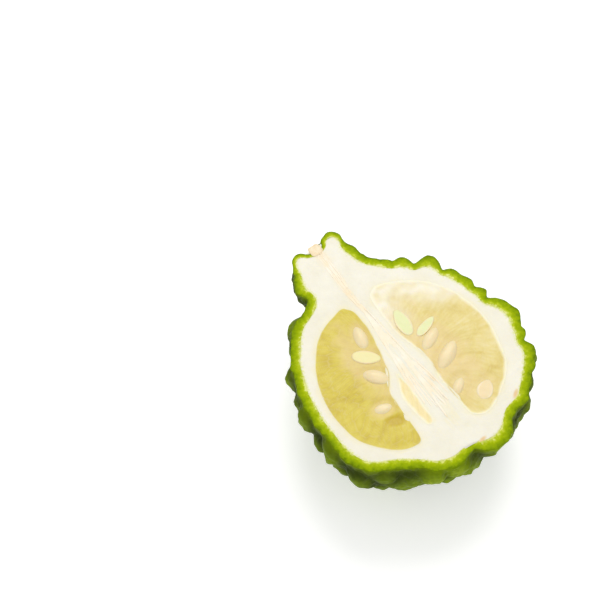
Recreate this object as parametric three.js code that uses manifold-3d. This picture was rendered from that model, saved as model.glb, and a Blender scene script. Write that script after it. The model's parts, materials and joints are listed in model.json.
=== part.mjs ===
// Half of a makrut lime, cut lengthwise, lying on its knobbly rind with the cut face level and up.
// Millimetres. +Y runs along the fruit from the blossom end to the stem, and +Z is up, out of the
// cut face. The fruit is shaped round the axis of its core, with the cut at z = 0, and the finished
// half is then moved so that the origin is under the middle of its box, at its lowest point.
import * as THREE from 'three';
import { mergeVertices } from 'three/addons/utils/BufferGeometryUtils.js';
import Module from 'manifold-3d';

const wasm = await Module();
wasm.setup();

// ---- driving dimensions ----

// The outline between the knobs, from the blossom end to the stem: [along the core, right, left].
const stations = [
  [-33.9, 0, 0], [-33.7, 4.2, 4.0], [-32.6, 9.0, 10.2], [-30.0, 16.2, 15.6], [-26.3, 21.4, 21.0],
  [-21.0, 25.6, 28.2], [-15.0, 27.5, 29.9], [-8.0, 28.2, 30.1], [-1.0, 27.2, 29.5],
  [6.0, 26.0, 27.8], [12.5, 23.4, 24.8], [17.8, 18.4, 20.8], [21.6, 14.2, 16.2],
  [24.6, 11.4, 11.2], [28.0, 9.2, 11.0], [31.5, 8.3, 10.2], [35.0, 7.8, 8.4],
  [37.0, 6.4, 6.4], [37.3, 4.4, 4.4], [36.3, 2.4, 2.4], [36.0, 0, 0],
];
const depthRatio = 0.93; // depth of the half against its half-width
const sectionPower = 2.15; // 2 is an ellipse, more is a flatter underside

// Knobs on the cut edge: [station, height, radius]. Station 6.5 is midway between the 6th and 7th,
// counted from 0.
const rightKnobs = [
  [1.1, 3.0, 6.5], [3.1, 1.1, 3.0], [3.9, 0.7, 2.6], [4.55, 1.2, 2.6], [5.2, 1.9, 3.0],
  [6.1, 2.1, 2.6], [6.97, 3.6, 7.0], [8.25, 1.9, 2.6], [9.0, 1.4, 2.6], [9.5, 1.4, 2.6],
  [10.42, 3.1, 3.6], [11.45, 1.8, 2.7], [12.6, 0.7, 2.4], [14.6, 0.6, 3.0], [17.6, 1.8, 3.2],
];
const leftKnobs = [
  [2.0, 1.6, 6.0], [4.6, 0.8, 4.0], [6.0, 0.6, 3.6], [7.3, 0.6, 4.0], [8.6, 0.5, 3.4],
  [9.9, 0.6, 3.6], [11.2, 0.6, 3.2], [14.4, 0.7, 3.4], [17.5, 1.0, 3.0],
];

// Knobs over the rest of the rind stand in rows round the fruit. Ranges are [least, most].
const knobSpacing = 6.3;
const knobRadius = [3.7, 5.0];
const knobHeight = [1.7, 3.1];
const knobStretch = [1.0, 1.5]; // how much longer than wide
const knobLean = 1.2; // range of the long way's angle to the row, in radians
const knobScatter = 0.45; // sideways, as a share of the step from knob to knob
const rowScatter = 0.5; // along the fruit, in stations
const edgeMargin = 3.4; // a knob of the rows stays this far under the cut
const knobBlend = 3.2; // per millimetre: higher is a sharper crease between knobs

// On the neck the knobs are low, narrow ridges that run lengthwise.
const neckFrom = 13; // the station where the neck starts
const neckStretch = 2.0;
const neckHeightScale = 0.6;
const neckRadiusScale = 0.8;

// The half rests on the tips of these knobs: [station, degrees under the right edge].
const restKnobs = [[6.2, 75], [6.3, 105], [8.05, 77], [8.1, 103]];
const restDepth = 29.3; // from the cut to the surface that it stands on
const restRadius = 6.2;
const restSink = 0.4; // how much of each tip is pressed flat

// Seeds that the cut laid open: [name, x, y, length, width, degrees from +X, cut through?, depth].
const seeds = [
  ['seed_stem_right', 5.4, 5.6, 8.4, 3.6, 82, true, 0.5],
  ['seed_slim_right', 9.5, 1.2, 7.0, 2.3, 17, true, 0.3],
  ['seed_upper_right', 8.5, -2.2, 7.8, 3.2, 26, false, 0.9],
  ['seed_middle_right', 9.1, -8.5, 9.4, 3.7, 28, false, 0.9],
  ['seed_lower_right', 5.7, -17.2, 5.6, 2.6, 32, false, 0.9],
  ['seed_blossom_right', 10.5, -22.1, 5.8, 3.7, 36, true, 0.6],
  ['seed_stem_left', -6.1, 8.6, 7.4, 3.4, 75, false, 0.9],
  ['seed_upper_left', -8.4, 2.8, 7.8, 3.6, -42, true, 0.6],
  ['seed_middle_left', -9.6, -3.3, 7.8, 3.7, -50, false, 0.9],
  ['seed_lower_left', -13.6, -11.2, 5.4, 2.8, -12, false, 0.9],
];
const seedThickness = 0.85; // of its width
const seedClearance = 0.35; // gap between a seed and its pocket
const bowlScale = 1.08; // a whole seed's bowl against the seed, and then this much wider:
const bowlMargin = 0.7;

const stubRadius = 1.8; // the woody stub of the stalk
const stubTaper = 0.9; // its far end against its near one
const stubFrom = 34.9;
const stubTo = 38.0;

// How finely the surfaces are divided.
const profileSteps = 58;
const turnSteps = 88;
const pipSteps = 9;
const pipSides = 14;
const bowlSides = 16;
const stubSides = 18;
const weld = 1e-4; // points closer than this are one

// ---- the fruit's form ----

const lastStation = stations.length - 1;
const rightOutline = new THREE.SplineCurve(stations.map(([y, right]) => new THREE.Vector2(right, y)));
const leftOutline = new THREE.SplineCurve(stations.map(([y, , left]) => new THREE.Vector2(left, y)));

// A repeatable number from 0 to 1 for each whole number.
function chance(n) {
  const s = Math.sin(n * 12.9898 + 78.233) * 43758.5453;
  return s - Math.floor(s);
}

const between = ([low, high], share) => low + (high - low) * share;

// The station at a share of the outline's length.
const evenStation = (share) => rightOutline.getUtoTmapping(share) * lastStation;

// A point of the smooth fruit. The turn runs from the right edge, 0, down to the left one, PI.
function basePoint(station, turn) {
  const right = rightOutline.getPoint(station / lastStation);
  const left = leftOutline.getPoint(station / lastStation);
  const cos = Math.cos(turn);
  const sin = Math.sin(turn);
  const radius = THREE.MathUtils.lerp(left.x, right.x, (1 + cos) / 2);
  const across = Math.sign(cos) * Math.abs(cos) ** (2 / sectionPower);
  const down = Math.sign(sin) * Math.abs(sin) ** (2 / sectionPower);
  return new THREE.Vector3(radius * across, right.y, -radius * depthRatio * down);
}

// Tangents and outward normal of the smooth fruit.
function baseFrame(station, turn) {
  const step = 0.01;
  const round = basePoint(station, turn + step).sub(basePoint(station, turn - step)).normalize();
  const along = basePoint(station + step, turn).sub(basePoint(station - step, turn)).normalize();
  return { round, along, normal: new THREE.Vector3().crossVectors(round, along).normalize() };
}

// A knob's long way leans from the row it stands in towards the fruit's length.
function knob(station, turn, height, radius, stretch = 1, lean = 0) {
  const { round, along } = baseFrame(station, turn);
  const long = round.multiplyScalar(Math.cos(lean)).addScaledVector(along, Math.sin(lean));
  return { centre: basePoint(station, turn), height, radius, stretch, long };
}

const bodyKnob = (station, turn, seed) => knob(
  station,
  turn,
  between(knobHeight, chance(seed)),
  between(knobRadius, chance(seed + 1)),
  between(knobStretch, chance(seed + 2)),
  knobLean * (chance(seed + 3) - 0.5),
);

const neckKnob = (station, turn, seed) => knob(
  station,
  turn,
  between(knobHeight, chance(seed)) * neckHeightScale,
  between(knobRadius, chance(seed + 1)) * neckRadiusScale,
  neckStretch,
  Math.PI / 2,
);

// Rows of knobs, about one spacing apart along the outline and round each row. Every other row is
// shifted by half a step.
function rowKnobs() {
  const knobs = [];
  const rows = Math.round(rightOutline.getLength() / knobSpacing);
  for (let row = 1; row < rows; row++) {
    const rowStation = evenStation(row / rows);
    const halfTurn = Math.PI * Math.abs(basePoint(rowStation, Math.PI / 2).z);
    const count = Math.max(3, Math.round(halfTurn / knobSpacing));
    for (let i = 0; i < count; i++) {
      const seed = row * 40 + i * 5;
      const step = i + (row % 2 ? 0.75 : 0.25) + knobScatter * (chance(seed + 4) - 0.5);
      const turn = (Math.PI * step) / count;
      const station = rowStation + rowScatter * (chance(seed + 5) - 0.5);
      if (basePoint(station, turn).z > -edgeMargin) continue;
      const grow = rowStation > neckFrom ? neckKnob : bodyKnob;
      knobs.push(grow(station, turn, seed));
    }
  }
  return knobs;
}

// The resting knobs' heights put all their tips a little past the surface that they stand on.
function restingKnobs() {
  return restKnobs.map(([station, degrees]) => {
    const turn = THREE.MathUtils.degToRad(degrees);
    const { normal } = baseFrame(station, turn);
    const height = (restDepth + restSink + basePoint(station, turn).z) / Math.abs(normal.z);
    return knob(station, turn, height, restRadius);
  });
}

function allKnobs() {
  const resting = restingKnobs();
  const clearOfResting = ({ centre }) => resting.every((r) => r.centre.distanceTo(centre) > restRadius);
  return [
    ...rightKnobs.map(([station, height, radius]) => knob(station, 0, height, radius)),
    ...leftKnobs.map(([station, height, radius]) => knob(station, Math.PI, height, radius)),
    ...resting,
    ...rowKnobs().filter(clearOfResting),
  ];
}

// Height of the rind over the smooth fruit: rounded knobs that meet in creases. Each knob is a
// paraboloid, and a soft maximum joins them.
function rindHeight(point, knobs) {
  let sum = 1; // the smooth fruit counts as a knob of no height
  for (const { centre, height, radius, stretch, long } of knobs) {
    const away = point.clone().sub(centre);
    const lengthwise = away.dot(long);
    const distance2 = away.lengthSq() - lengthwise ** 2 * (1 - 1 / stretch ** 2);
    sum += Math.exp(knobBlend * height * (1 - distance2 / radius ** 2));
  }
  return Math.log(sum) / knobBlend;
}

// ---- solids ----

function toSolid(geometry) {
  const bare = geometry.clone();
  bare.deleteAttribute('normal');
  bare.deleteAttribute('uv');
  const { attributes, index } = mergeVertices(bare, weld);
  return new wasm.Manifold(new wasm.Mesh({
    numProp: 3,
    vertProperties: new Float32Array(attributes.position.array),
    triVerts: new Uint32Array(index.array),
  }));
}

function toGeometry(solid) {
  const mesh = solid.getMesh();
  const geometry = new THREE.BufferGeometry();
  geometry.setAttribute('position', new THREE.BufferAttribute(mesh.vertProperties, 3));
  geometry.setIndex(new THREE.BufferAttribute(mesh.triVerts, 1));
  geometry.computeVertexNormals();
  return geometry;
}

// A block that fills everything above a level.
function above(level) {
  const size = 200; // larger than the whole fruit
  return toSolid(new THREE.BoxGeometry(size, size, size).translate(0, 0, level + size / 2));
}

// The smooth fruit as a closed grid: turned sections, from the blossom end to the stem.
function smoothFruit() {
  const positions = [];
  for (let i = 0; i <= profileSteps; i++) {
    const station = evenStation(i / profileSteps);
    for (let j = 0; j < turnSteps; j++) {
      positions.push(...basePoint(station, (2 * Math.PI * j) / turnSteps));
    }
  }
  const index = [];
  for (let i = 0; i < profileSteps; i++) {
    for (let j = 0; j < turnSteps; j++) {
      const near = i * turnSteps;
      const far = near + turnSteps;
      const next = (j + 1) % turnSteps;
      if (i > 0) index.push(near + j, near + next, far + next);
      if (i < profileSteps - 1) index.push(near + j, far + next, far + j);
    }
  }
  const grid = new THREE.BufferGeometry();
  grid.setAttribute('position', new THREE.Float32BufferAttribute(positions, 3));
  grid.setIndex(index);
  return mergeVertices(grid, weld);
}

// The whole fruit: the smooth one raised into knobs along its normals.
function wholeFruit() {
  const knobs = allKnobs();
  const fruit = smoothFruit();
  fruit.computeVertexNormals();
  const { position, normal } = fruit.attributes;
  for (let v = 0; v < position.count; v++) {
    const point = new THREE.Vector3().fromBufferAttribute(position, v);
    const outward = new THREE.Vector3().fromBufferAttribute(normal, v);
    point.addScaledVector(outward, rindHeight(point, knobs));
    point.z = Math.max(point.z, -restDepth);
    position.setXYZ(v, ...point);
  }
  return fruit;
}

// A pip lying along X: pointed at its low end and round at the other.
function pip(length, width, thickness) {
  const profile = [];
  for (let i = 0; i <= pipSteps; i++) {
    const share = i / pipSteps;
    const radius = (width / 2) * Math.sin(Math.PI * share ** 0.85) ** 0.75;
    profile.push(new THREE.Vector2(i % pipSteps ? radius : 0, (share - 0.5) * length));
  }
  return new THREE.LatheGeometry(profile, pipSides)
    .rotateZ(-Math.PI / 2)
    .scale(1, 1, thickness / width);
}

// What is hollowed out for a seed. One that was cut through fits its pocket closely, and a whole
// one lies in an open bowl.
function seedPocket(length, width, cut, depth) {
  const thickness = width * seedThickness;
  if (cut) {
    const gap = 2 * seedClearance;
    return pip(length + 2 * gap, width + gap, thickness + gap).translate(0, 0, -depth);
  }
  return new THREE.SphereGeometry(1, bowlSides, bowlSides / 2).scale(
    (bowlScale * length + bowlMargin) / 2,
    (bowlScale * width + bowlMargin) / 2,
    depth + thickness / 2 + seedClearance,
  );
}

// The stub lies along Y, and is round before the cut halves it.
function roundStub(radius, length) {
  return toSolid(new THREE.CylinderGeometry(radius * stubTaper, radius, length, stubSides));
}

// ---- pieces ----

const rind = new THREE.MeshStandardMaterial({ color: 0x6f8a14, roughness: 0.5, metalness: 0 });
const seedCoat = new THREE.MeshStandardMaterial({ color: 0xe6cfa0, roughness: 0.55, metalness: 0 });
const wood = new THREE.MeshStandardMaterial({ color: 0xe8d9b4, roughness: 0.8, metalness: 0 });

const half = new THREE.Group();
const air = above(0);
let flesh = toSolid(wholeFruit()).subtract(air);

for (const [name, x, y, length, width, degrees, cut, depth] of seeds) {
  const turn = THREE.MathUtils.degToRad(degrees);
  const pocket = seedPocket(length, width, cut, depth).rotateZ(turn).translate(x, y, 0);
  flesh = flesh.subtract(toSolid(pocket));
  const seed = new THREE.Mesh(pip(length, width, width * seedThickness), seedCoat);
  if (cut) seed.geometry = toGeometry(toSolid(seed.geometry).subtract(above(depth)));
  seed.name = name;
  seed.position.set(x, y, -depth);
  seed.rotation.z = turn;
  half.add(seed);
}

const stubLength = stubTo - stubFrom;
const stubMiddle = (stubTo + stubFrom) / 2;
const socket = roundStub(stubRadius + seedClearance, stubLength + 2 * seedClearance);
flesh = flesh.subtract(socket.translate([0, stubMiddle + seedClearance, 0]));
const stub = new THREE.Mesh(toGeometry(roundStub(stubRadius, stubLength).subtract(air)), wood);
stub.name = 'stalk_stub';
stub.position.y = stubMiddle;
half.add(stub);

const fruit = new THREE.Mesh(toGeometry(flesh), rind);
fruit.name = 'fruit_half';
half.add(fruit);

// The origin goes under the middle of the half's box, on the surface that it stands on.
const box = new THREE.Box3().setFromObject(half, true);
const middle = box.getCenter(new THREE.Vector3());
half.position.set(-middle.x, -middle.y, -box.min.z);

const root = new THREE.Group();
root.add(half);
export default root;
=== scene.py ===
# Half of a makrut lime, lying on its knobbly rind with the cut face level and up.
# Shapes are worked out in the fruit's own frame, in millimetres: +Y runs from the blossom end to the
# stem, and z = 0 is the cut. place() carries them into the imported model's frame, in metres.
import json
import math
import bmesh
import bpy
import numpy as np
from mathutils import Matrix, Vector


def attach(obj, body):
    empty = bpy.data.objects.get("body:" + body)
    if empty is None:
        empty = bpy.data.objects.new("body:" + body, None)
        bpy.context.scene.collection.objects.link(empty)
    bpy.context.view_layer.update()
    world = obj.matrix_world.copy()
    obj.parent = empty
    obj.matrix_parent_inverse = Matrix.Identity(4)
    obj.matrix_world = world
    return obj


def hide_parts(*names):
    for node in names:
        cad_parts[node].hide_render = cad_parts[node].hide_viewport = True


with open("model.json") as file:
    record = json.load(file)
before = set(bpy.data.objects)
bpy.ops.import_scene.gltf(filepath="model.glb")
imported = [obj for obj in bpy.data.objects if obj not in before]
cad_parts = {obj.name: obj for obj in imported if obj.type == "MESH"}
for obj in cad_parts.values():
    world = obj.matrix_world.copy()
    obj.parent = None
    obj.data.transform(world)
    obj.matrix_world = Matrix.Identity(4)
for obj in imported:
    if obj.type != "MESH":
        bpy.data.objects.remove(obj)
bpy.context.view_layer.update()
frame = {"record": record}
millimetre = 0.001
cutCentre = np.array(frame["record"]["mounts"][0]["pos_m"])  # the fruit frame's origin
restDepth = cutCentre[2] / millimetre
print("frame loaded")


def place(points):
    return points * millimetre + cutCentre


def srgb(red, green, blue):
    # display colour from 0 to 255, made linear for the shaders
    share = np.array([red, green, blue]) / 255
    linear = np.where(share <= 0.04045, share / 12.92, ((share + 0.055) / 1.055) ** 2.4)
    return (*linear.tolist(), 1.0)


# ---- numbers and noise ----

def chance(n):
    # the fraction of a very steep sine: a repeatable number from 0 to 1 for each whole number
    s = np.sin(n * 12.9898 + 78.233) * 43758.5453
    return s - np.floor(s)


def between(limits, share):
    return limits[0] + (limits[1] - limits[0]) * share


def unit(vectors):
    return vectors / np.maximum(np.linalg.norm(vectors, axis=-1, keepdims=True), 1e-12)


def smoothStep(values):
    # 3t^2 - 2t^3 between 0 and 1
    t = np.clip(values, 0, 1)
    return t * t * (3 - 2 * t)


def noiseAt(points, size, seed):
    # value noise from -1 to 1: the chances of a cube's eight corners, blended by smooth weights
    scaled = points / size
    cell = np.floor(scaled)
    near = smoothStep(scaled - cell)
    total = 0
    for corner in np.ndindex(2, 2, 2):
        weight = np.prod(np.where(corner, near, 1 - near), axis=-1)
        total = total + weight * chance((cell + corner) @ np.array([1.0, 57.0, 113.0]) + seed)
    return 2 * total - 1


def cellsAt(flat, seed):
    # Worley noise in a plane: the distances to the nearest and second nearest jittered site
    cell = np.floor(flat)
    first = np.full(flat.shape[:-1], 9.0)
    second = first.copy()
    for offset in np.ndindex(3, 3):
        site = cell + offset - 1
        key = site @ np.array([1.0, 61.0]) + seed
        jitter = np.stack([chance(key), chance(key + 0.5)], axis=-1)
        away = np.linalg.norm(flat - site - 0.15 - 0.7 * jitter, axis=-1)
        second = np.minimum(second, np.maximum(first, away))
        first = np.minimum(first, away)
    return first, second


def splineAt(knots, t):
    # Catmull-Rom through the knots, one unit of t from each to the next, its end knots doubled
    last = len(knots) - 1
    t = np.clip(np.asarray(t, dtype=float), 0, last)
    i = np.minimum(np.floor(t).astype(int), last)
    w = (t - i)[..., None]
    before, here = knots[np.maximum(i - 1, 0)], knots[i]
    after, beyond = knots[np.minimum(i + 1, last)], knots[np.minimum(i + 2, last)]
    leave, arrive = (after - before) / 2, (beyond - here) / 2
    cubic = 2 * here - 2 * after + leave + arrive
    square = 3 * after - 3 * here - 2 * leave - arrive
    return ((cubic * w + square) * w + leave) * w + here


def loopThrough(knots, steps):
    # a closed Catmull-Rom loop, sampled evenly in its parameter
    knots = np.array(knots, dtype=float)
    around = np.concatenate([knots[-2:], knots, knots[:3]])
    t = np.linspace(2, 2 + len(knots), steps, endpoint=False)
    return splineAt(around, t)


def insideDistance(points, loop):
    # distance to the loop's nearest segment, positive inside by the crossing rule
    x, y = points[..., 0], points[..., 1]
    nearest = np.full(x.shape, 1e9)
    inside = np.zeros(x.shape, dtype=bool)
    for (ax, ay), (bx, by) in zip(loop, np.roll(loop, -1, axis=0)):
        dx, dy = bx - ax, by - ay
        t = np.clip(((x - ax) * dx + (y - ay) * dy) / (dx * dx + dy * dy + 1e-12), 0, 1)
        nearest = np.minimum(nearest, np.hypot(x - ax - t * dx, y - ay - t * dy))
        crosses = (ay > y) != (by > y)
        inside ^= crosses & (x < dx * (y - ay) / (dy if dy else 1e-12) + ax)
    return np.where(inside, nearest, -nearest)


def pathDistance(points, path):
    # distance to the nearest of an open path's points in the plane, and that point's share along it
    away = np.linalg.norm(points[..., None, :2] - path[:, :2], axis=-1)
    return away.min(axis=-1), away.argmin(axis=-1) / (len(path) - 1)


def ellipseAt(points, x, y, length, width, degrees):
    # 0 at an ellipse's middle, 1 on its edge
    turn = math.radians(degrees)
    dx, dy = points[..., 0] - x, points[..., 1] - y
    lengthwise = dx * math.cos(turn) + dy * math.sin(turn)
    sideways = dy * math.cos(turn) - dx * math.sin(turn)
    return np.hypot(2 * lengthwise / length, 2 * sideways / width)


# ---- meshes ----

def makePiece(name, grids, material, nodes=(), attributes=None):
    # each grid is rows of points, and each row is a closed loop; all of them go into one mesh
    vertices, faces, start = [], [], 0
    for grid in grids:
        rows, columns = grid.shape[:2]
        index = np.arange(rows * columns).reshape(rows, columns) + start
        beside = np.roll(index, -1, axis=1)
        faces.append(np.stack([index[:-1], beside[:-1], beside[1:], index[1:]], axis=-1).reshape(-1, 4))
        vertices.append(place(grid).reshape(-1, 3))
        start += rows * columns
    mesh = bpy.data.meshes.new(name)
    mesh.from_pydata(np.concatenate(vertices).tolist(), [], np.concatenate(faces).tolist())
    for label, values in (attributes or {}).items():
        layer = mesh.attributes.new(label, 'FLOAT', 'POINT')
        layer.data.foreach_set('value', np.asarray(values, dtype=np.float32).ravel())
    shape = bmesh.new()
    shape.from_mesh(mesh)
    bmesh.ops.remove_doubles(shape, verts=shape.verts, dist=2e-7)
    bmesh.ops.recalc_face_normals(shape, faces=shape.faces)
    shape.to_mesh(mesh)
    shape.free()
    mesh.polygons.foreach_set('use_smooth', np.ones(len(mesh.polygons), dtype=bool))
    mesh.materials.append(material)
    piece = bpy.data.objects.new(name, mesh)
    bpy.context.scene.collection.objects.link(piece)
    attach(piece, "root")
    if nodes:
        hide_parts(*nodes)
    print(name, len(mesh.polygons), "faces")
    return piece


# ---- shader helpers ----

def addNode(tree, kind, inputs=None, **settings):
    # a node with its settings, whose inputs are values or other nodes' outputs
    node = tree.nodes.new(kind)
    for key, value in settings.items():
        setattr(node, key, value)
    for key, value in (inputs or {}).items():
        if isinstance(value, bpy.types.NodeSocket):
            tree.links.new(value, node.inputs[key])
        else:
            node.inputs[key].default_value = value
    return node


def addRamp(tree, factor, stops):
    # a colour ramp through (place, colour) stops
    ramp = addNode(tree, 'ShaderNodeValToRGB', {'Fac': factor})
    elements = ramp.color_ramp.elements
    elements[0].position, elements[0].color = stops[0]
    elements[1].position, elements[1].color = stops[-1]
    for position, colour in stops[1:-1]:
        elements.new(position).color = colour
    return ramp.outputs['Color']


def mixColours(tree, factor, first, second, blend='MIX'):
    mix = addNode(tree, 'ShaderNodeMix', data_type='RGBA', blend_type=blend)
    for key, value in ((0, factor), (6, first), (7, second)):
        if isinstance(value, bpy.types.NodeSocket):
            tree.links.new(value, mix.inputs[key])
        else:
            mix.inputs[key].default_value = value
    return mix.outputs[2]


def calculate(tree, operation, first, second=0.0, clamp=False):
    node = addNode(tree, 'ShaderNodeMath', {0: first, 1: second}, operation=operation, use_clamp=clamp)
    return node.outputs[0]


def readAttribute(tree, label):
    return addNode(tree, 'ShaderNodeAttribute', attribute_name=label).outputs['Fac']


def objectPlace(tree):
    return addNode(tree, 'ShaderNodeTexCoord').outputs['Object']


def newGroup(name, inputs, output):
    # a node group with float inputs (the first is the place) and one float output
    tree = bpy.data.node_groups.new(name, 'ShaderNodeTree')
    tree.interface.new_socket('Place', in_out='INPUT', socket_type='NodeSocketVector')
    for label, value in inputs.items():
        socket = tree.interface.new_socket(label, in_out='INPUT', socket_type='NodeSocketFloat')
        socket.default_value = value
    tree.interface.new_socket(output, in_out='OUTPUT', socket_type='NodeSocketFloat')
    return tree, tree.nodes.new('NodeGroupInput'), tree.nodes.new('NodeGroupOutput')


def buildMottle():
    # cloudy patches: two sizes of noise added, then spread round one half by the contrast
    tree, given, result = newGroup('mottle', {'Scale': 200.0, 'Contrast': 1.0}, 'Value')
    broad = addNode(tree, 'ShaderNodeTexNoise', {
        'Vector': given.outputs['Place'], 'Scale': given.outputs['Scale'], 'Detail': 5.0, 'Roughness': 0.6})
    centred = calculate(tree, 'SUBTRACT', broad.outputs[0], 0.5)
    spread = calculate(tree, 'MULTIPLY', centred, given.outputs['Contrast'])
    tree.links.new(calculate(tree, 'ADD', spread, 0.5, clamp=True), result.inputs['Value'])
    return tree


def buildGlands():
    # round cells with a soft rim: 1 in the middle of each oil gland, 0 between them
    tree, given, result = newGroup('oilGlands', {'Scale': 900.0, 'Size': 0.55}, 'Value')
    cells = addNode(tree, 'ShaderNodeTexVoronoi', {
        'Vector': given.outputs['Place'], 'Scale': given.outputs['Scale'], 'Randomness': 0.8})
    share = calculate(tree, 'DIVIDE', cells.outputs['Distance'], given.outputs['Size'])
    rounded = calculate(tree, 'SUBTRACT', 1.0, calculate(tree, 'MULTIPLY', share, share), clamp=True)
    tree.links.new(rounded, result.inputs['Value'])
    return tree


mottle = buildMottle()
oilGlands = buildGlands()


def useGroup(tree, group, **values):
    node = tree.nodes.new('ShaderNodeGroup')
    node.node_tree = group
    tree.links.new(objectPlace(tree), node.inputs['Place'])
    for label, value in values.items():
        node.inputs[label].default_value = value
    return node.outputs[0]


def newMaterial(name, **shader):
    # a Principled material: plain values go straight onto the shader's own sockets
    material = bpy.data.materials.new(name)
    material.use_nodes = True
    principled = material.node_tree.nodes['Principled BSDF']
    for label, value in shader.items():
        principled.inputs[label.replace('_', ' ')].default_value = value
    return material, material.node_tree, principled


def addBump(tree, principled, height, distance, strength=1.0):
    bump = addNode(tree, 'ShaderNodeBump', {
        'Height': height, 'Distance': distance * millimetre, 'Strength': strength})
    tree.links.new(bump.outputs['Normal'], principled.inputs['Normal'])


# ---- materials ----

def rindMaterial():
    material, tree, principled = newMaterial(
        'rindSkin', Roughness=0.52, Subsurface_Weight=0.08, Subsurface_Scale=0.0008,
        Subsurface_Radius=(0.6, 1.0, 0.2), Specular_IOR_Level=0.03)
    clouds = useGroup(tree, mottle, Scale=120.0, Contrast=1.6)
    specks = useGroup(tree, mottle, Scale=1400.0, Contrast=1.5)
    glands = useGroup(tree, oilGlands, Scale=850.0, Size=0.6)
    # painted shade: the skin is coloured darker in the creases between the knobs and lighter on the knob
    # tops, by knob height, plus mottled patches
    knobs = readAttribute(tree, 'knobShare')
    creaseShadeAndBlotches = calculate(tree, 'ADD', knobs, calculate(tree, 'MULTIPLY', clouds, 0.30))
    skin = addRamp(tree, calculate(tree, 'SUBTRACT', creaseShadeAndBlotches, 0.12), [
        (0.0, srgb(20, 32, 0)), (0.30, srgb(50, 63, 4)), (0.60, srgb(84, 102, 8)),
        (0.85, srgb(110, 131, 16)), (1.0, srgb(132, 152, 36))])
    skin = mixColours(tree, calculate(tree, 'MULTIPLY', glands, 0.28), skin, srgb(30, 48, 8))
    skin = mixColours(tree, calculate(tree, 'MULTIPLY', specks, 0.12), skin, srgb(136, 152, 62))
    # painted light: the skin is coloured a brighter green towards the cut edge, fading down to the shaded
    # underside
    edge = readAttribute(tree, 'paintedEdgeLight')
    skin = mixColours(tree, calculate(tree, 'MULTIPLY', edge, 0.6), skin, srgb(128, 151, 0))
    ragged = useGroup(tree, mottle, Scale=900.0, Contrast=1.0)
    wander = calculate(tree, 'ADD', calculate(tree, 'MULTIPLY', clouds, 0.25),
                       calculate(tree, 'MULTIPLY', ragged, 1.15))
    wavy = calculate(tree, 'ADD', readAttribute(tree, 'bandShare'),
                     calculate(tree, 'SUBTRACT', wander, 0.70))
    band = addRamp(tree, wavy, [
        (0.0, srgb(104, 127, 0)), (0.25, srgb(134, 158, 0)), (0.60, srgb(160, 180, 2)),
        (0.85, srgb(186, 199, 44)), (1.0, srgb(226, 229, 140))])
    band = mixColours(tree, calculate(tree, 'MULTIPLY', glands, 0.30), band, srgb(128, 152, 22))
    colour = mixColours(tree, readAttribute(tree, 'onCut'), skin, band)
    tree.links.new(colour, principled.inputs['Base Color'])
    dimples = calculate(tree, 'SUBTRACT', calculate(tree, 'MULTIPLY', specks, 0.35), glands)
    addBump(tree, principled, dimples, 0.12, 0.55)
    return material


def pithMaterial():
    material, tree, principled = newMaterial(
        'pith', Roughness=0.62, Subsurface_Weight=0.2, Subsurface_Scale=0.0006,
        Subsurface_Radius=(1.0, 0.9, 0.6))
    clouds = useGroup(tree, mottle, Scale=160.0, Contrast=1.4)
    grain = useGroup(tree, mottle, Scale=1500.0, Contrast=1.6)
    colour = mixColours(tree, clouds, srgb(232, 227, 206), srgb(245, 242, 230))
    ragged = calculate(tree, 'MULTIPLY', calculate(tree, 'SUBTRACT', grain, 0.66), 2.0)
    rimTint = calculate(tree, 'ADD', readAttribute(tree, 'greenEdge'), ragged, clamp=True)
    colour = mixColours(tree, rimTint, colour, srgb(220, 225, 130))
    colour = mixColours(tree, readAttribute(tree, 'strand'), colour, srgb(249, 226, 182))
    colour = mixColours(tree, readAttribute(tree, 'pulpStain'), colour, srgb(243, 233, 190))
    colour = mixColours(tree, readAttribute(tree, 'nick'), colour, srgb(226, 178, 92))
    colour = mixColours(tree, calculate(tree, 'MULTIPLY', grain, 0.10), colour, srgb(222, 214, 184))
    tree.links.new(colour, principled.inputs['Base Color'])
    addBump(tree, principled, grain, 0.10, 0.5)
    return material


def pulpMaterial(name, deep, middle, pale):
    # deep between the sacs, pale on the sacs
    material, tree, principled = newMaterial(
        name, Roughness=0.38, Subsurface_Weight=0.3, Subsurface_Scale=0.0006,
        Subsurface_Radius=(1.0, 0.8, 0.25), Coat_Weight=0.12, Coat_Roughness=0.25, IOR=1.33)
    clouds = useGroup(tree, mottle, Scale=190.0, Contrast=1.7)
    grain = useGroup(tree, mottle, Scale=1100.0, Contrast=1.5)
    sacs = readAttribute(tree, 'sac')
    tone = calculate(tree, 'ADD', calculate(tree, 'MULTIPLY', sacs, 0.35),
                     calculate(tree, 'MULTIPLY', clouds, 0.65))
    colour = addRamp(tree, tone, [(0.12, deep), (0.5, middle), (0.9, pale)])
    colour = mixColours(tree, calculate(tree, 'MULTIPLY', readAttribute(tree, 'wall'), 0.15),
                        colour, srgb(246, 238, 200))
    colour = mixColours(tree, calculate(tree, 'MULTIPLY', grain, 0.22), colour, pale)
    colour = mixColours(tree, readAttribute(tree, 'film'), colour, srgb(240, 234, 214))
    # painted shade round each pip, and a peach tint over the flesh among the pips
    colour = mixColours(tree, readAttribute(tree, 'pipShadeAndBedTint'), colour, srgb(229, 204, 150))
    colour = mixColours(tree, readAttribute(tree, 'amber'), colour, srgb(190, 158, 44))
    colour = mixColours(tree, readAttribute(tree, 'rimFade'), colour, srgb(245, 240, 214))
    tree.links.new(colour, principled.inputs['Base Color'])
    addBump(tree, principled, grain, 0.08, 0.4)
    return material


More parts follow.
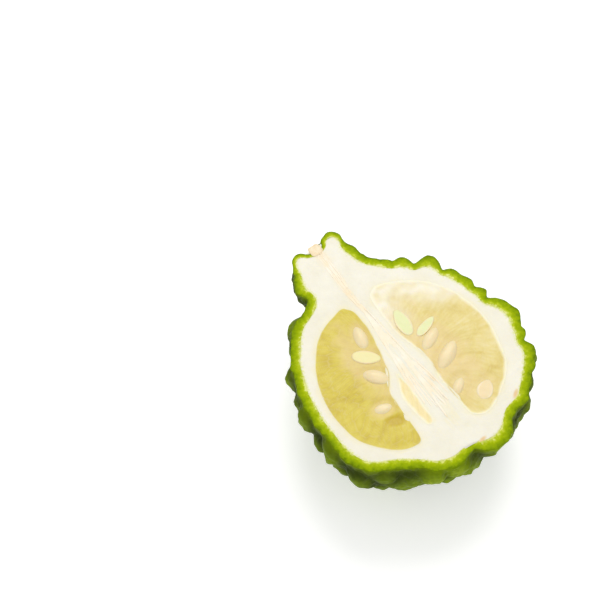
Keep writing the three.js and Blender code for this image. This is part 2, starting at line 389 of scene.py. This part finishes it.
def pipMaterial(name, body, shade, kernel):
    # a dry-looking coat, painted lighter on top and with painted shade towards its underside; a cut pip shows
    # its kernel inside a paler coat
    material, tree, principled = newMaterial(
        name, Roughness=0.45, Subsurface_Weight=0.25, Subsurface_Scale=0.0008,
        Subsurface_Radius=(1.0, 0.7, 0.4), Coat_Weight=0.15, Coat_Roughness=0.3)
    clouds = useGroup(tree, mottle, Scale=420.0, Contrast=1.8)
    grain = useGroup(tree, mottle, Scale=2200.0, Contrast=1.6)
    tone = calculate(tree, 'ADD', calculate(tree, 'MULTIPLY', clouds, 0.5),
                     calculate(tree, 'MULTIPLY', readAttribute(tree, 'paintedTopLight'), 0.5))
    colour = mixColours(tree, tone, shade, body)
    colour = mixColours(tree, readAttribute(tree, 'kernel'), colour, kernel)
    tree.links.new(colour, principled.inputs['Base Color'])
    addBump(tree, principled, grain, 0.06, 0.5)
    return material


def fibreMaterial(name, pale, dark, scale):
    material, tree, principled = newMaterial(
        name, Roughness=0.6)
    clouds = useGroup(tree, mottle, Scale=scale, Contrast=2.0)
    grain = useGroup(tree, mottle, Scale=5 * scale, Contrast=1.6)
    tree.links.new(mixColours(tree, clouds, dark, pale), principled.inputs['Base Color'])
    addBump(tree, principled, grain, 0.10, 0.6)
    return material


# ---- the fruit's form ----

fruitForm = {
    # the outline between the knobs, from the blossom end to the stem: along the core, right, left
    'stations': [
        [-33.9, 0, 0], [-33.7, 4.2, 4.0], [-32.6, 9.0, 10.2], [-30.0, 16.2, 15.6], [-26.3, 21.4, 21.0],
        [-21.0, 25.6, 28.2], [-15.0, 27.5, 29.9], [-8.0, 28.2, 30.1], [-1.0, 27.2, 29.5],
        [6.0, 26.0, 27.8], [12.5, 23.4, 24.8], [17.8, 18.4, 20.8], [21.6, 14.2, 16.2],
        [24.6, 11.4, 11.2], [28.0, 9.2, 11.0], [31.5, 8.3, 10.2], [35.0, 7.8, 8.4],
        [37.0, 6.4, 6.4], [37.3, 4.4, 4.4], [36.3, 2.4, 2.4], [36.0, 0, 0]],
    'depthRatio': 0.93,
    'sectionPower': 2.15,
    # knobs on the cut edge: station, height, radius
    'rightKnobs': [
        [1.1, 3.0, 6.5], [3.1, 1.1, 3.0], [3.9, 0.7, 2.6], [4.55, 1.2, 2.6], [5.2, 1.9, 3.0],
        [6.1, 2.1, 2.6], [6.97, 3.6, 7.0], [8.25, 1.9, 2.6], [9.0, 1.4, 2.6], [9.5, 1.4, 2.6],
        [10.42, 3.1, 3.6], [11.45, 1.8, 2.7], [12.6, 0.7, 2.4], [14.6, 0.6, 3.0], [17.6, 1.8, 3.2]],
    'leftKnobs': [
        [2.0, 1.6, 6.0], [4.6, 0.8, 4.0], [6.0, 0.6, 3.6], [7.3, 0.6, 4.0], [8.6, 0.5, 3.4],
        [9.9, 0.6, 3.6], [11.2, 0.6, 3.2], [14.4, 0.7, 3.4], [17.5, 1.0, 3.0]],
    'knobSpacing': 6.3,
    'knobRadius': (3.7, 5.0),
    'knobHeight': (1.7, 3.1),
    'knobStretch': (1.0, 1.5),
    'knobLean': 1.2,
    'knobScatter': 0.45,
    'rowScatter': 0.5,
    'edgeMargin': 3.4,
    'knobBlend': 3.2,
    'neckFrom': 13,
    'neckStretch': 2.0,
    'neckHeightScale': 0.6,
    'neckRadiusScale': 0.8,
    'restKnobs': [[6.2, 75], [6.3, 105], [8.05, 77], [8.1, 103]],  # station, degrees
    'restRadius': 6.2,
    'restSink': 0.4,
}
stations = np.array(fruitForm['stations'], dtype=float)
lastStation = len(stations) - 1


def evenStations(share):
    # stations at shares of the right outline's length
    t = np.linspace(0, lastStation, 201)
    outline = splineAt(stations, t)[:, :2]
    lengths = np.concatenate([[0], np.cumsum(np.linalg.norm(np.diff(outline, axis=0), axis=1))])
    return np.interp(np.asarray(share) * lengths[-1], lengths, t), lengths[-1]


def basePoints(station, turn):
    # a flattened half section: the radius goes from the right one to the left one as the turn goes
    # from 0 to pi, and its cosine and sine are raised to 2 / power, as in a superellipse
    outline = splineAt(stations, station)
    cos, sin = np.cos(turn), np.sin(turn)
    radius = outline[..., 2] + (outline[..., 1] - outline[..., 2]) * (1 + cos) / 2
    power = 2 / fruitForm['sectionPower']
    across = radius * np.sign(cos) * np.abs(cos) ** power
    down = radius * fruitForm['depthRatio'] * np.sign(sin) * np.abs(sin) ** power
    return np.stack([across, outline[..., 0] + 0 * across, -down], axis=-1)


def baseFrames(station, turn):
    # directions round and along the smooth fruit from central differences, and outwards from it
    step = 0.01
    station = np.clip(station, 2 * step, lastStation - 2 * step)
    around = unit(basePoints(station, turn + step) - basePoints(station, turn - step))
    along = unit(basePoints(station + step, turn) - basePoints(station - step, turn))
    return around, along, unit(np.cross(around, along))


def makeKnob(station, turn, height, radius, stretch=1.0, lean=0.0):
    station, turn = np.float64(station), np.float64(turn)
    around, along, _ = baseFrames(station, turn)
    longWay = around * math.cos(lean) + along * math.sin(lean)
    return basePoints(station, turn), height, radius, stretch, longWay


def rowKnobs():
    # rows about one spacing apart, every other one shifted by half a step, as in the solid
    form, knobs = fruitForm, []
    length = evenStations(0)[1]
    rows = round(length / form['knobSpacing'])
    for row in range(1, rows):
        rowStation = float(evenStations(row / rows)[0])
        halfTurn = math.pi * abs(basePoints(np.float64(rowStation), np.float64(math.pi / 2))[2])
        count = max(3, math.floor(halfTurn / form['knobSpacing'] + 0.5))
        for i in range(count):
            seed = row * 40 + i * 5
            step = i + (0.75 if row % 2 else 0.25) + form['knobScatter'] * (chance(seed + 4) - 0.5)
            turn = math.pi * step / count
            station = rowStation + form['rowScatter'] * (chance(seed + 5) - 0.5)
            if basePoints(np.float64(station), np.float64(turn))[2] > -form['edgeMargin']:
                continue
            height = between(form['knobHeight'], chance(seed))
            radius = between(form['knobRadius'], chance(seed + 1))
            stretch = between(form['knobStretch'], chance(seed + 2))
            lean = form['knobLean'] * (chance(seed + 3) - 0.5)
            if rowStation > form['neckFrom']:
                height *= form['neckHeightScale']
                radius *= form['neckRadiusScale']
                stretch, lean = form['neckStretch'], math.pi / 2
            knobs.append(makeKnob(station, turn, height, radius, stretch, lean))
    return knobs


def allKnobs():
    form, resting = fruitForm, []
    for station, degrees in form['restKnobs']:
        turn = np.float64(math.radians(degrees))
        normal = baseFrames(np.float64(station), turn)[2]
        depth = restDepth + form['restSink'] + basePoints(np.float64(station), turn)[2]
        resting.append(makeKnob(station, turn, depth / abs(normal[2]), form['restRadius']))
    clear = [k for k in rowKnobs()
             if all(np.linalg.norm(k[0] - r[0]) > form['restRadius'] for r in resting)]
    edges = [makeKnob(s, 0, h, r) for s, h, r in form['rightKnobs']]
    edges += [makeKnob(s, math.pi, h, r) for s, h, r in form['leftKnobs']]
    return edges + resting + clear


def knobHeights(points, knobs):
    # log of a sum of exponentials joins the paraboloids h (1 - d^2 / r^2) by a soft maximum
    blend = fruitForm['knobBlend']
    total = np.ones(points.shape[:-1])
    for centre, height, radius, stretch, longWay in knobs:
        away = points - centre
        lengthwise = away @ longWay
        distance2 = (away ** 2).sum(axis=-1) - lengthwise ** 2 * (1 - 1 / stretch ** 2)
        total += np.exp(blend * height * np.maximum(1 - distance2 / radius ** 2, -4))
    return np.log(total) / blend


def outwards(station, turn, points):
    # the base's normal, turned to run along the core where the sections shrink to a point
    normal = baseFrames(station, turn)[2]
    radius = np.hypot(points[..., 0], points[..., 2])
    share = smoothStep(radius / 1.5)[..., None]
    pole = np.zeros(points.shape)
    pole[..., 1] = np.where(station < lastStation / 2, -1.0, 1.0)
    return unit(share * normal + (1 - share) * pole)


def softened(values, times):
    # repeated three-point averages down the rows
    for _ in range(times):
        padded = np.concatenate([values[:1], values, values[-1:]])
        values = (padded[:-2] + 2 * padded[1:-1] + padded[2:]) / 4
    return values


skinForm = {
    'rows': 380, 'outerSteps': 200, 'innerSteps': 24,
    'bandShares': [0.03, 0.12, 0.3, 0.5, 0.7, 0.88],  # steps across the green band of the cut
    # the white starts this deep, less so in the neck, and follows the knobs so far
    'thickness': 2.4, 'neckThinning': 1.3, 'followsKnobs': 0.75,
    'roughness': [(2.4, 0.5), (1.1, 0.32)],  # size and height of finer lumps
}
fruitKnobs = allKnobs()
print(len(fruitKnobs), "knobs on the rind")


def innerSkin(station, turn):
    # the smooth fruit, less the thickness of the green skin, partly following the softened knobs
    base = basePoints(station, turn)
    heights = softened(knobHeights(base, fruitKnobs), 24)
    thickness = skinForm['thickness'] - skinForm['neckThinning'] * smoothStep((station - 15.0) / 1.5)
    inset = skinForm['followsKnobs'] * heights - thickness
    return base + outwards(station, turn, base) * inset[..., None]


def buildRind():
    form = skinForm
    station = evenStations(np.linspace(0, 1, form['rows'] + 1))[0][:, None]
    turn = np.linspace(0, math.pi, form['outerSteps'] + 1)[None, :]
    station, turn = np.broadcast_arrays(station, turn)
    base = basePoints(station, turn)
    normal = outwards(station, turn, base)
    knobs = knobHeights(base, fruitKnobs)
    fine = sum(size * noiseAt(base, scale, 7 * scale) for scale, size in form['roughness'])
    fine = fine * smoothStep(-base[..., 2] / 2.0 + 0.6)
    outer = base + normal * (knobs + fine)[..., None]
    outer[..., 2] = np.clip(outer[..., 2], -restDepth, 0)
    inner = innerSkin(station[:, :form['innerSteps'] + 1],
                      np.broadcast_to(np.linspace(math.pi, 0, form['innerSteps'] + 1),
                                      (form['rows'] + 1, form['innerSteps'] + 1)))
    shares = np.array(form['bandShares'])[None, :, None]
    leftBand = outer[:, -1:] * (1 - shares) + inner[:, :1] * shares
    rightBand = inner[:, -1:] * shares[:, ::-1] + outer[:, :1] * (1 - shares[:, ::-1])
    grid = np.concatenate([outer, leftBand, inner, rightBand], axis=1)
    rows, bandSteps = form['rows'] + 1, len(form['bandShares'])
    zero = np.zeros((rows, outer.shape[1]))
    one = np.ones((rows, inner.shape[1]))
    share = np.repeat(shares[:, :, 0], rows, axis=0)
    bandShare = np.concatenate([zero, share, one, share[:, ::-1]], axis=1)
    onCut = np.concatenate([zero, one[:, :bandSteps], one, one[:, :bandSteps]], axis=1)
    # knob height, which the rind's colour uses as painted shade in the creases and painted light on the knob
    # tops
    knobShare = np.clip(knobs / 2.8, 0, 1)
    # painted light: 1 at the cut edge, fading down the rind
    edgeLight = np.exp(outer[..., 2] / 1.6)
    pad = np.zeros((rows, grid.shape[1] - outer.shape[1]))
    makePiece('rind', [grid], rindMaterial(), ['fruit_half'], {
        'knobShare': np.concatenate([knobShare, pad], axis=1),
        'paintedEdgeLight': np.concatenate([edgeLight, pad], axis=1),
        'bandShare': bandShare, 'onCut': onCut})


# ---- the cut face ----

pulpForm = {
    'left': [
        (-5.2, 18.2), (-9.6, 17.2), (-13.6, 15.6), (-17, 13.1), (-19.5, 10.3), (-22, 6.6), (-24, 2.3),
        (-25.1, -2), (-25.6, -5.8), (-25.4, -10.7), (-24.5, -14.7), (-22.8, -17.7), (-19.8, -21.3),
        (-16.9, -23.4), (-13.9, -24.3), (-11.9, -24.2), (-10.9, -22.7), (-10.4, -18.4), (-10.1, -13.5),
        (-9.7, -9.6), (-8.3, -6.8), (-6.4, -4), (-5.4, -1.1), (-4, 3.6), (-3, 8.4), (-2.7, 12.2),
        (-2.8, 15.1), (-3.8, 17.1)],
    'right': [
        (5.5, 18.3), (3.1, 16.7), (2.3, 11.9), (2.1, 8.1), (2, 4.2), (2.7, 0.3), (3.5, -3.6),
        (3.8, -7.5), (3.2, -10.4), (2.9, -14.2), (3, -19.1), (2.9, -23), (3.3, -25.5), (5.3, -27.2),
        (7.7, -27.4), (10.7, -26.4), (14.1, -24.4), (17.1, -22.3), (20, -19.1), (21.5, -15.3),
        (23.3, -9.5), (23.7, -5.7), (23.5, -1.8), (22.5, 3.1), (21.1, 7), (17.7, 12), (13.8, 15.1),
        (9.9, 17.3), (7, 18.3)],
    'sliver': [
        (-4.9, -5), (-4.5, -10.9), (-5, -16.7), (-5.5, -21.1), (-7.5, -21.5), (-8.2, -16.5),
        (-8.1, -11.7), (-6.4, -7.9)],
    'loopSteps': 120, 'depth': 5.6, 'recess': 6.6,
    'sacWidth': 0.8, 'sacLength': 4.0, 'sacHeight': 0.02, 'sacCentre': (0.0, -3.0),
}
pulpLoops = {side: loopThrough(pulpForm[side], pulpForm['loopSteps']) for side in ('left', 'right', 'sliver')}

# name: x, y, length, width, degrees from +X, cut through, depth of its axis under the cut
seedForm = {
    'seed_stem_right': (5.4, 5.6, 8.4, 3.6, 82, True, 0.5),
    'seed_slim_right': (9.5, 1.2, 7.0, 2.3, 17, True, 0.3),
    'seed_upper_right': (8.5, -2.2, 7.8, 3.2, 26, False, 0.9),
    'seed_middle_right': (9.1, -8.5, 9.4, 3.7, 28, False, 0.9),
    'seed_lower_right': (5.7, -17.2, 5.6, 2.6, 32, False, 0.9),
    'seed_blossom_right': (10.5, -22.1, 5.8, 3.7, 36, True, 0.6),
    'seed_stem_left': (-6.1, 8.6, 7.4, 3.4, 75, False, 0.9),
    'seed_upper_left': (-8.4, 2.8, 7.8, 3.6, -42, True, 0.6),
    'seed_middle_left': (-9.6, -3.3, 7.8, 3.7, -50, False, 0.9),
    'seed_lower_left': (-13.6, -11.2, 5.4, 2.8, -12, False, 0.9),
}
seedThickness = 0.85  # of its width
coatSwell = 1.16  # the slimy coat's share of the width

strandPath = splineAt(np.array([(0.3, 36.4), (0.0, 31.0), (-0.3, 26.0), (-0.8, 19.8), (-0.7, 13.6)]),
                      np.linspace(0, 4, 60))


def pipBed(points):
    # the soft pale flesh among the pips on both sides of the core
    left = ellipseAt(points, -8.6, -1.5, 27, 11.5, 96)
    right = ellipseAt(points, 7.4, -7.0, 30, 12.5, 98)
    return smoothStep(1.45 - np.minimum(left, right) + 0.3 * noiseAt(points, 2.2, 11))


def pipHalo(points):
    # 1 over each pip, falling to 0 a little outside it: the pulp dips there and is coloured with painted
    # shade
    shade = np.zeros(points.shape[:-1])
    for x, y, length, width, degrees, cut, depth in seedForm.values():
        halo = ellipseAt(points, x, y, length + 3.0, width + 3.0, degrees)
        shade = np.maximum(shade, smoothStep((1.2 - halo) / 0.6) * (0.3 if cut else 0.8))
    return shade


def buildPith():
    rows, across, under = 290, 200, 24
    top = 17.5  # the station where the white ends in the neck
    even = np.linspace(0, 1, 400)
    share = np.linspace(0, 1, rows + 1) * np.interp(top, evenStations(even)[0], even)
    station = evenStations(share)[0][:, None]
    turn = np.linspace(0, math.pi, under + 1)[None, :]
    station, turn = np.broadcast_arrays(station, turn)
    below = innerSkin(station, turn)
    # the rim goes a little way under the green band
    grown = 1 + 0.25 / np.maximum(np.hypot(below[..., 0], below[..., 2]), 1.0)
    below = below * np.stack([grown, np.ones(grown.shape), grown], axis=-1)
    t = np.linspace(0, 1, across + 1)[None, 1:-1, None]
    face = below[:, -1:] * (1 - t) + below[:, :1] * t
    rim = np.minimum(np.linalg.norm(face - below[:, -1:], axis=-1),
                     np.linalg.norm(face - below[:, :1], axis=-1))
    rim = np.minimum(rim, np.abs(face[..., 1] + 33.9) * 1.2)
    wander = 0.45 * noiseAt(face, 2.4, 31) + 0.2 * noiseAt(face, 0.9, 32)
    inside = np.full(face.shape[:-1], -99.0)
    for loop in pulpLoops.values():
        inside = np.maximum(inside, insideDistance(face, loop))
    recess = 0.55 * smoothStep((inside - 0.4) / 1.3)
    recess += (pulpForm['recess'] - 0.55) * smoothStep((inside - 1.9) / 1.0)
    away, along = pathDistance(face, strandPath)
    wide = 1.5 - 0.8 * along
    strand = np.exp(-(away / wide) ** 2) * smoothStep((1.02 - along) / 0.25)
    threads = 0.5 + 0.5 * noiseAt(face * np.array([3.2, 0.25, 1.0]), 1.0, 61)
    relief = 0.07 * noiseAt(face, 3.5, 41) + 0.05 * noiseAt(face, 1.1, 42)
    core = np.exp(-((face[..., 0] + 1.0) / 4.5) ** 2) * smoothStep((18 - face[..., 1]) / 10)
    core *= smoothStep((face[..., 1] + 30) / 8)
    relief += 0.07 * core * noiseAt(face * np.array([1.6, 0.16, 1.0]), 1.0, 43) + 0.05 * strand * threads
    relief *= smoothStep((35.0 - face[..., 1]) / 0.8)
    flat = np.exp(-(inside / 1.2) ** 2)
    neckSink = 0.08 * smoothStep((face[..., 1] - 33.6) / 1.0)  # so the green band covers the white there
    relief *= smoothStep((rim - 0.2) / 0.8) * (1 - flat)
    face[..., 2] = relief - 0.03 * np.exp(-rim / 0.3) - recess - neckSink
    grid = np.concatenate([below, face], axis=1)
    end = grid[-1:].mean(axis=1, keepdims=True) * np.ones((1, grid.shape[1], 1))
    start = grid[:1].mean(axis=1, keepdims=True) * np.ones((1, grid.shape[1], 1))
    grid = np.concatenate([start, grid, end])
    nick = np.zeros(face.shape[:-1])
    for x, y, length, width, degrees in [(1.0, -32.6, 2.6, 1.2, 10), (15.8, -27.6, 3.2, 1.2, 35)]:
        nick = np.maximum(nick, 0.7 * smoothStep(1.3 - ellipseAt(face, x, y, length, width, degrees)))
    stain = 0.5 * np.exp(-np.maximum(-inside - wander, 0) / 0.5)
    stain = np.maximum(stain, 0.55 * core * smoothStep(threads * 1.6 - 0.55))

    def padded(values):
        full = np.concatenate([np.zeros((len(values), under + 1)), values], axis=1)
        return np.concatenate([full[:1], full, full[-1:]])

    makePiece('pith', [grid], pithMaterial(), (), {
        'greenEdge': padded(np.clip(1.35 - rim / 0.9, -1, 1.35)),
        'strand': padded(strand * (0.3 + 0.5 * threads)),
        'pulpStain': padded(np.clip(stain, 0, 1)), 'nick': padded(nick)})


def buildPulp(side, columns, rows, material):
    # rings from the middle of the segment out to its loop, close together at its edge, then down
    # and back under it
    form = pulpForm
    loop = loopThrough(form[side], columns)
    centre = loop.mean(axis=0)
    share = np.append(0.993 * np.linspace(0, 1, rows + 1) ** 0.8, [0.9955, 0.998, 1.0])[:, None, None]
    flat = centre + share * (loop - centre)[None]
    top = np.concatenate([flat, np.zeros(flat.shape[:-1] + (1,))], axis=-1)
    rim = np.abs(insideDistance(top, pulpLoops[side]))
    # sacs stand in fans round the core, longer than wide
    fan = top[..., :2] - np.array(form['sacCentre'])
    bend = 1.2 * noiseAt(top, 7.0, 3)
    away = np.hypot(fan[..., 0], fan[..., 1])
    angle = np.arctan2(fan[..., 1], fan[..., 0]) + math.pi
    nearest, second = cellsAt(np.stack(
        [(angle * 15 + bend) / form['sacWidth'], (away + bend) / form['sacLength']], axis=-1), 17)
    wall = np.exp(-((second - nearest) / 0.10) ** 2)
    sac = np.clip(1 - nearest / 0.75, 0, 1)
    shade = pipHalo(top)
    hollow = smoothStep(1.4 - ellipseAt(top, -13.4, -15.8, 5.6, 3.0, -20) + 0.3 * noiseAt(top, 1.6, 8))
    relief = form['sacHeight'] * (smoothStep((second - nearest) / 0.45) - 0.75)
    relief += 0.015 * noiseAt(top, 1.0, 5) + 0.10 * noiseAt(top, 4.0, 6)
    edge = smoothStep(1 - rim / 1.6)
    top[..., 2] = (relief - 0.08 - 0.25 * shade) * (1 - edge) + 0.03
    top[..., 2] -= 0.35 * hollow * (1 - shade)
    top[-1, :, 2] -= 0.5
    under = top[::-1][1:].copy()
    depth = form['depth'] * smoothStep((1 - share[::-1][1:, :, 0]) * 8)
    under[..., 2] = np.minimum(-0.5 - depth, top[::-1][1:, :, 2] - 0.4)
    grid = np.concatenate([top, under])
    fade = {'left': 0.4, 'right': 0.9, 'sliver': 0.9}[side] * (1 + 0.4 * noiseAt(top, 2.0, 10))
    film = 0.9 * smoothStep(1.25 - rim / 7.5) * smoothStep((top[..., 1] - 1.0) / 6.0)
    film = film * (0.85 + 0.3 * noiseAt(top, 1.6, 9)) * (side == 'right')

    # painted shade in a ring round each pip, and a peach tint over the flesh among the pips
    pipShadeAndBedTint = np.maximum(0.6 * shade, 0.55 * pipBed(top) * (side != 'sliver'))

    def both(values):
        return np.concatenate([values, values[::-1][1:]])

    makePiece('pulp_' + side, [grid], material, (), {
        'sac': both(sac), 'wall': both(wall), 'pipShadeAndBedTint': both(pipShadeAndBedTint), 'film': both(np.clip(film, 0, 1)),
        'amber': both(hollow * 0.6), 'rimFade': both(0.9 * smoothStep(1.15 - rim / fade) * (1 - shade))})


def buildSeeds():
    whole = pipMaterial('pipCoat', srgb(240, 224, 180), srgb(231, 207, 156), srgb(240, 220, 180))
    green = pipMaterial('pipGreen', srgb(240, 226, 184), srgb(234, 212, 164), srgb(224, 227, 170))
    peach = pipMaterial('pipPeach', srgb(245, 232, 200), srgb(238, 216, 176), srgb(234, 213, 166))
    yellow = pipMaterial('pipYellow', srgb(238, 218, 172), srgb(228, 200, 148), srgb(233, 224, 162))
    cutPips = {'seed_blossom_right': peach, 'seed_upper_left': yellow}
    steps, sides = 48, 40
    share, turn = np.meshgrid(np.linspace(0, 1, steps + 1), np.linspace(0, 2 * math.pi, sides, False),
                              indexing='ij')
    for number, (name, (x, y, length, width, degrees, cut, depth)) in enumerate(seedForm.items()):
        # the radius is half the width times sin(pi s^0.85)^0.58, with faint ridges and dents
        swell = np.abs(np.sin(math.pi * share ** 0.85)) ** 0.58 * (share > 0) * (share < 1)
        ridges = 1 + 0.02 * np.cos(7 * turn + 3 * number) * swell
        radius = coatSwell * width / 2 * swell * ridges
        local = np.stack([(share - 0.5) * length * 1.06, radius * np.sin(turn),
                          radius / coatSwell * np.cos(turn) * seedThickness], axis=-1)
        local[..., 2] += 0.10 * noiseAt(local, 1.8, 50 + number) * swell
        local[..., 1] += 0.14 * noiseAt(local, 2.6, 70 + number) * swell
        half = np.maximum(coatSwell * width / 2 * swell, 1e-3)
        kernel = np.zeros(share.shape)
        if cut:
            across = np.abs(local[..., 1]) / half
            onTop = local[..., 2] > depth - 0.02
            fromEnd = np.minimum(share, 1 - share)
            kernel = onTop * smoothStep((0.86 - across) / 0.2) * smoothStep(fromEnd / 0.12)
            top = depth + 0.05 + 0.05 * noiseAt(local, 0.9, 90 + number)
            local[..., 2] = np.minimum(local[..., 2], top)
        angle = math.radians(degrees)
        points = np.stack([
            x + local[..., 0] * math.cos(angle) - local[..., 1] * math.sin(angle),
            y + local[..., 0] * math.sin(angle) + local[..., 1] * math.cos(angle),
            local[..., 2] - depth], axis=-1)
        # painted light and shade: 1 on the pip's top, 0 underneath, with some noise
        tone = np.clip(0.5 + 0.5 * np.cos(turn) + 0.25 * noiseAt(local, 0.7, 30 + number), 0, 1)
        makePiece(name + '_pip', [points], cutPips.get(name, green) if cut else whole, [name],
                  {'kernel': kernel, 'paintedTopLight': tone})


def threadGrid(path, width, height):
    # an ellipse carried along the path, shrinking to a point at both ends
    sides = 8
    turn = np.linspace(0, 2 * math.pi, sides, False)
    share = np.linspace(0, 1, len(path))
    size = np.sin(math.pi * share) ** 0.35 * (share > 0) * (share < 1)
    tangent = unit(np.gradient(path, axis=0))
    side = np.stack([tangent[:, 1], -tangent[:, 0]], axis=-1)
    sideways = np.cos(turn)[None, :, None] * (width / 2 * size)[:, None, None]
    flat = path[:, None, :] + side[:, None, :] * sideways
    rise = (np.sin(turn)[None, :] - 0.5) * (height * size)[:, None] + 0.02
    return np.concatenate([flat, rise[..., None]], axis=-1)


def buildCoreFibres():
    # fibres fan down the core from the end of the strand, and a few run up into the neck
    grids = []
    ends = np.linspace(-6.4, 2.2, 15)
    for i, end in enumerate(ends):
        start = (-0.7 + 1.6 * (chance(i) - 0.5), 17.0 - 7.0 * chance(i + 40))
        middle = (0.45 * end - 0.4 + 0.9 * (chance(i + 60) - 0.5), -2.0 + 3 * (chance(i + 80) - 0.5))
        low = (end + 0.6 * (chance(i + 20) - 0.5), -12.0 - 11.0 * chance(i + 30))
        mid2 = ((middle[0] + low[0]) / 2 + 0.7 * (chance(i + 70) - 0.5), (middle[1] + low[1]) / 2)
        path = splineAt(np.array([start, middle, mid2, low]), np.linspace(0, 3, 70))
        clearOf = np.maximum.reduce([insideDistance(path, loop) for loop in pulpLoops.values()])
        path = path[clearOf < 0.2]
        if len(path) > 12:
            grids.append(threadGrid(path, 0.4 + 0.4 * chance(i + 11), 0.08 + 0.05 * chance(i + 12)))
    for i in range(6):
        shift = 0.42 * (i - 2.5) * np.linspace(1.1, 0.45, len(strandPath))
        wave = 0.12 * np.sin(np.linspace(0, 9, len(strandPath)) + 2 * i)
        path = strandPath + np.stack([shift + wave, 0 * wave], axis=-1)
        grids.append(threadGrid(path, 0.42, 0.1))
    makePiece('core_fibres', grids, fibreMaterial(
        'coreFibre', srgb(252, 246, 232), srgb(248, 228, 190), 160.0))


def buildStub():
    # a half-round stub: a section carried along the core, ragged at its outer end
    radius, begin, finish = 1.8, 34.9, 38.0
    sides, steps = 64, 26
    turn = np.linspace(0, 2 * math.pi, sides, False)[None, :]
    y = np.linspace(begin, finish, steps)[:, None]
    ribs = 1 + 0.05 * np.cos(9 * turn) + 0.03 * np.cos(17 * turn + 1)
    taper = np.sqrt(np.clip(1 - (np.abs(y - (begin + finish) / 2) / 1.56) ** 5, 0, 1))
    size = radius * ribs * taper * np.interp(y, [begin, finish], [1.0, 0.9])
    points = np.stack([size * np.cos(turn), y + 0 * turn, size * np.sin(turn)], axis=-1)
    points[..., 1] += 0.5 * noiseAt(points, 1.1, 12) * smoothStep((y - finish + 1.2) / 1.0)
    points[..., 2] = np.minimum(points[..., 2], 0.12 + 0.08 * noiseAt(points * np.array([3, .4, 1]), 1.0, 13))
    caps = [points[:1].mean(axis=1, keepdims=True) * np.ones((1, sides, 1)),
            points[-1:].mean(axis=1, keepdims=True) * np.ones((1, sides, 1))]
    makePiece('stalk_stub_wood', [np.concatenate([caps[0], points, caps[1]])], fibreMaterial(
        'stalkWood', srgb(250, 238, 210), srgb(232, 200, 146), 700.0), ['stalk_stub'])


buildRind()
buildPith()
buildPulp('left', 300, 110, pulpMaterial(
    'pulpLeft', srgb(190, 164, 28), srgb(208, 189, 58), srgb(222, 206, 94)))
buildPulp('right', 300, 110, pulpMaterial(
    'pulpRight', srgb(205, 180, 76), srgb(221, 202, 120), srgb(232, 218, 162)))
buildPulp('sliver', 120, 24, pulpMaterial(
    'pulpSliver', srgb(228, 208, 140), srgb(238, 221, 162), srgb(244, 233, 194)))
buildSeeds()
buildCoreFibres()
buildStub()

# ---- camera, floor and light ----

viewForm = {
    'elevation': 60, 'azimuth': -36, 'lens': 100, 'distance': 427.35,
    'aim': (1.5, -2.5, 0.0), 'right': -28.205, 'up': 13.333,
}


def addCamera():
    # it stands back from the aim against the line of sight, then moves sideways and up in its plane
    form = viewForm
    elevation, azimuth = math.radians(form['elevation']), math.radians(form['azimuth'])
    ahead = Vector((-math.sin(azimuth) * math.cos(elevation), math.cos(azimuth) * math.cos(elevation),
                    -math.sin(elevation)))
    right = Vector((math.cos(azimuth), math.sin(azimuth), 0))
    up = right.cross(ahead)
    offset = -form['distance'] * ahead + form['right'] * right + form['up'] * up
    data = bpy.data.cameras.new('viewCamera')
    data.lens = form['lens']
    data.clip_start = 0.01
    camera = bpy.data.objects.new('viewCamera', data)
    camera.location = place(np.array(form['aim']) + np.array(offset)).tolist()
    camera.rotation_euler = ahead.to_track_quat('-Z', 'Y').to_euler()
    bpy.context.scene.collection.objects.link(camera)
    bpy.context.scene.camera = camera


def addLamp(name, position, size, energy, colour):
    data = bpy.data.lights.new(name, 'AREA')
    data.shape, data.size, data.energy, data.color = 'DISK', size, energy, colour
    lamp = bpy.data.objects.new(name, data)
    lamp.location = position
    lamp.rotation_euler = (-Vector(position)).to_track_quat('-Z', 'Y').to_euler()
    bpy.context.scene.collection.objects.link(lamp)


def addFloor():
    half = 3.0
    mesh = bpy.data.meshes.new('studioFloor')
    corners = [(-half, -half, 0), (half, -half, 0), (half, half, 0), (-half, half, 0)]
    mesh.from_pydata(corners, [], [(0, 1, 2, 3)])
    material, tree, principled = newMaterial('floorPaper', Roughness=0.9)
    principled.inputs['Base Color'].default_value = (0.97, 0.97, 0.97, 1)
    principled.inputs['Emission Color'].default_value = (1, 1, 1, 1)
    principled.inputs['Emission Strength'].default_value = 0.3
    mesh.materials.append(material)
    floor = bpy.data.objects.new('studioFloor', mesh)
    bpy.context.scene.collection.objects.link(floor)


addCamera()
addFloor()
addLamp('keyLight', (0.32, 0.36, 0.72), 0.6, 3.6, (1.0, 0.99, 0.97))
addLamp('fillLight', (-0.5, -0.45, 0.5), 0.7, 1.6, (1.0, 1.0, 1.0))
world = bpy.data.worlds.new('studio')
bpy.context.scene.world = world
world.use_nodes = True
world.node_tree.nodes['Background'].inputs['Color'].default_value = (1, 1, 1, 1)
world.node_tree.nodes['Background'].inputs['Strength'].default_value = 0.6
bpy.context.scene.view_settings.view_transform = 'Standard'
print("camera, floor and lights placed")
